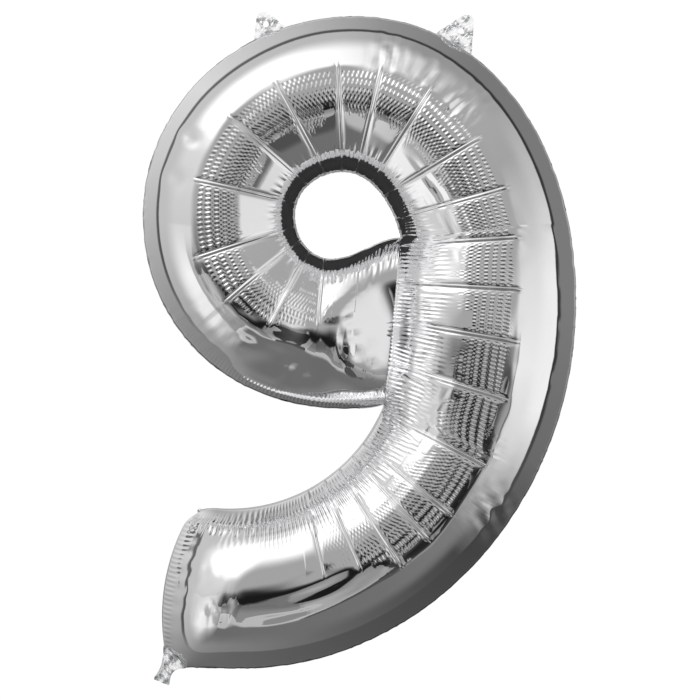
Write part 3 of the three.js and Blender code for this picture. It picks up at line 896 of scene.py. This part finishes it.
def studioWorld():
    world = bpy.data.worlds.new("studio")
    bpy.context.scene.world = world
    world.use_nodes = True
    nodes = Nodes(world.node_tree)
    direction = nodes.node("ShaderNodeTexCoord").out("Generated")
    parts = nodes.node("ShaderNodeSeparateXYZ", {}, (direction,))
    x, y, z = parts.out("X"), parts.out("Y"), parts.out("Z")
    turn = z.math("ARCTAN2", x) / (2 * math.pi) + 0.5
    tilt = (y * -1).math("ARCCOSINE") * (180 / math.pi)

    def greys(key):
        stops = [(degrees / 360 + 0.5, grey) for degrees, grey in studio[key]]
        colour = nodes.node("ShaderNodeValToRGB", {"stops": stops}, (turn,)).out()
        return nodes.node("ShaderNodeRGBToBW", {}, (colour,)).out()

    ahead, beside, behind = greys("ahead"), greys("beside"), greys("behind")
    down = nodes.range(z, 0.08, -0.2)
    centre = nodes.mix(down, studio["centre"] + 0 * z, studio["centreLow"])
    shade = nodes.mix(nodes.range(tilt, 20, 38), centre, ahead)
    shade = nodes.mix(nodes.range(tilt, 58, 82), shade, beside)
    # blocks of light and dark low in the room
    across = nodes.node("ShaderNodeCombineXYZ", {}, (turn * 14, tilt / 22, 0)).out()
    settings = {"feature": "F1", "distance": "CHEBYCHEV", "voronoi_dimensions": "2D"}
    cells = nodes.node("ShaderNodeTexVoronoi", settings, {"Vector": across, "Scale": 1.0, "Randomness": 0.7})
    block = nodes.node("ShaderNodeSeparateColor", {}, (cells.out("Color"),)).out("Red")
    low = nodes.range(z, 0.0, -0.2) * nodes.range(tilt, 16, 20) * nodes.range(tilt, 50, 44)
    grey = nodes.range(block, 0.15, 0.95, studio["blockDark"], studio["blockLight"])
    shade = nodes.mix(low * studio["blockShare"], shade, grey)
    dark = behind * nodes.range(z, -0.75, -0.15, 1.0, 0.5)
    shade = nodes.mix(nodes.range(tilt, 92, 95), shade, dark)
    shade = nodes.mix(nodes.range(tilt, 98, 103), shade, behind)
    # the far side of the studio repeats the near side
    farShade = nodes.mix(nodes.range(180 - tilt, 12, 34), centre, ahead)
    shade = nodes.mix(nodes.range(tilt, 148, 164), shade, farShade)
    light = (shade * studio["contrast"] - studio["black"]) ** 2.2
    # plain white to the camera and for matt surfaces
    path = nodes.node("ShaderNodeLightPath")
    plain = path.out("Is Camera Ray").math("MAXIMUM", path.out("Is Diffuse Ray"))
    strength = nodes.mix(plain, light, studio["white"])
    background = nodes.node("ShaderNodeBackground", {}, {"Color": (1, 1, 1, 1), "Strength": strength}).out()
    nodes.node("ShaderNodeOutputWorld", {}, {"Surface": background})


def staged(name, corners, faces, finish):
    mesh = bpy.data.meshes.new(name)
    mesh.from_pydata(corners, [], faces)
    piece = bpy.data.objects.new(name, mesh)
    bpy.context.scene.collection.objects.link(piece)
    material, nodes = newMaterial(finish)
    mesh.materials.append(material)
    piece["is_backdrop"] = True
    return piece, nodes


floorLook = {"tint": (0.93, 0.93, 0.925, 1), "reach": 2.9, "drop": 0.35}


def floorStage():
    # a round pale floor, well under the hanging balloon, that fades out at its edge
    reach, height = floorLook["reach"], cadBox[0][2] - floorLook["drop"]
    turns = np.linspace(0, 2 * math.pi, 96, endpoint=False)
    rim = [(reach * math.cos(turn), reach * math.sin(turn), height) for turn in turns]
    floor, nodes = staged("floor", rim, [tuple(range(len(rim)))], "paleFloor")
    place = nodes.node("ShaderNodeTexCoord").out("Object")
    rough = nodes.range(nodes.noise(place, 3, 4), 0.3, 0.7, 0.75, 0.9)
    away = nodes.node("ShaderNodeVectorMath", {"operation": "LENGTH"}, (place,)).out("Value")
    fade = nodes.range(away, reach * 0.98, reach * 0.5)
    nodes.surface({"Base Color": floorLook["tint"], "Roughness": rough, "Alpha": fade})
    floor.visible_glossy = False      # the foil mirrors the studio's panels and not the floor


# two cards in the hole that only the foil sees: a black one in its middle plane, painted shade for the foil
# to mirror, and a white collar that puts a painted highlight on the shoulder round it
cards = {
    "blackSize": 0.96, "blackTint": (0.03, 0.03, 0.03, 1),
    "collarSize": 0.7, "collarFrom": 0.040, "collarTo": 0.080, "collarTint": (0.95, 0.95, 0.95, 1),
    "rough": 0.9,
}


def holeCards():
    middle = hole.mean(axis=0)
    ring = hole[::12] - middle
    count = len(ring)
    black = [(x + placeX, 0, z + placeZ) for x, z in middle + ring * cards["blackSize"]]
    near, far, collar = cards["collarFrom"], cards["collarTo"], middle + ring * cards["collarSize"]
    white = [(x + placeX, y, z + placeZ) for y in (-near, -far, near, far) for x, z in collar]
    walls = [(base + i, base + (i + 1) % count, base + count + (i + 1) % count, base + count + i)
             for base in (0, 2 * count) for i in range(count)]
    for name, corners, faces, tint in (("flag", black, [tuple(range(count))], cards["blackTint"]),
                                       ("collar", white, walls, cards["collarTint"])):
        card, nodes = staged(name, corners, faces, name + "Card")
        nodes.surface({"Base Color": tint, "Roughness": cards["rough"]})
        # seen only in the foil's reflections: the black card is painted shade, the white collar a painted
        # highlight
        card.visible_camera = card.visible_shadow = False
        card.visible_diffuse = card.visible_transmission = False


view = {"lens": 175, "sensor": 36, "shown": 700 / 653, "asideX": -0.0126, "downZ": 0.422}


def placeCamera():
    data = bpy.data.cameras.new("camera")
    data.lens, data.sensor_width = view["lens"], view["sensor"]
    camera = bpy.data.objects.new("camera", data)
    bpy.context.scene.collection.objects.link(camera)
    distance = height * view["shown"] * data.lens / data.sensor_width
    camera.location = (placeX + view["asideX"], -distance, placeZ + view["downZ"])
    camera.rotation_euler = (math.pi / 2, 0, 0)
    bpy.context.scene.camera = camera


bpy.context.scene.view_settings.view_transform = "Standard"
placeCamera()
studioWorld()
floorStage()
holeCards()
print("studio done")
foil, seal, clearFilm = foilMaterial(), sealMaterial(), filmMaterial()
for name, side, seed in (("front_foil_panel_skin", -1, 4), ("back_foil_panel_skin", 1, 9)):
    panel, welds = foilPanel(name, side, seed)
    panel.data.materials.append(foil)
    for weld in welds:
        weld.data.materials.append(seal)
print("foil panels done")
films = [hangingTab("left", 21), hangingTab("right", 33)]
films.append(neckPiece("neck_front_film_skin", ["neck_front_film"], 0, 1, -1, 41, neck["film"]))
films.append(neckPiece("neck_back_film_skin", ["neck_back_film"], 0, 1, 1, 52, neck["film"]))
films.append(neckPiece("neck_left_seal_skin", ["neck_left_seal"], 0, 0.1, 0, 63, neck["seal"]))
films.append(neckPiece("neck_right_seal_skin", ["neck_right_seal"], 0.9, 1, 0, 74, neck["seal"]))
for film in films:
    film.data.materials.append(clearFilm)
for name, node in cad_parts.items():
    for place in node.material_slots:
        place.material = seal if "weld" in name else clearFilm
print("tabs and neck done")
{"cad": cadBox, "visual": [list(corner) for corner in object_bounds()]}
